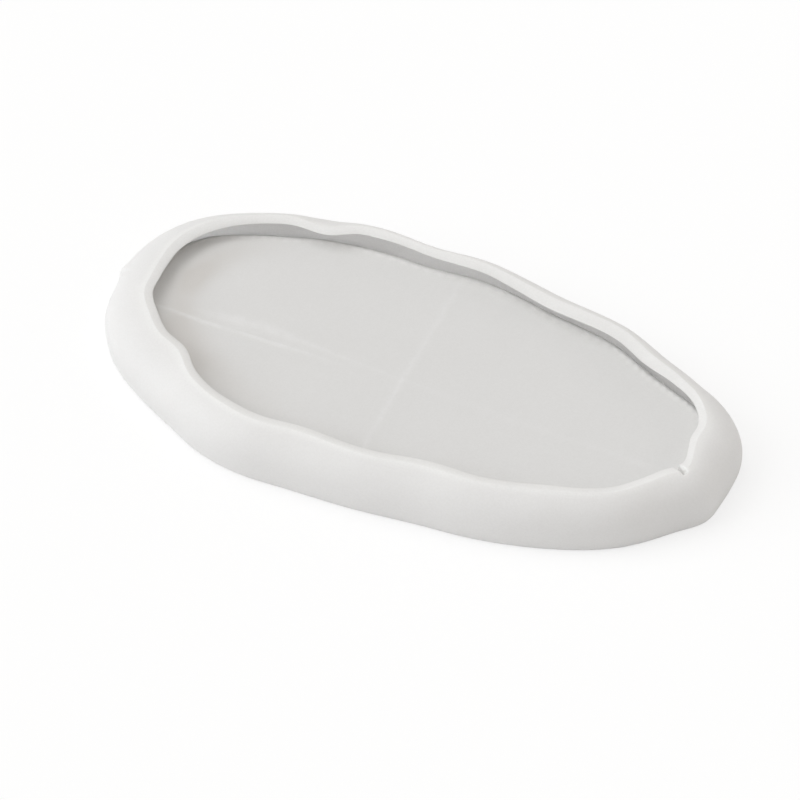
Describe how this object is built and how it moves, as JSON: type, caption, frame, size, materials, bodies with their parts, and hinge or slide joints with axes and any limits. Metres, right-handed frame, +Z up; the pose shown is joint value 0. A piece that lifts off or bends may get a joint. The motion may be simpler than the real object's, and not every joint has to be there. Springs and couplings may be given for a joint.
{
  "type": "silicone tray mould",
  "caption": "Flexible silicone mould for casting a ripple-edged oval tray: a raised plateau inside a deep groove and an inward-leaning wall.",
  "frame": {"origin": "middle of the footprint, in the plane that the mould stands on", "axes": "+X along the tray's length, +Y across it, +Z up out of the mould's opening"},
  "size_m": [0.3186, 0.1672, 0.026],
  "materials": {
    "silicone": "satin translucent white silicone"
  },
  "bodies": {
    "root": {"mould_shell": "silicone"}
  },
  "joints": []
}
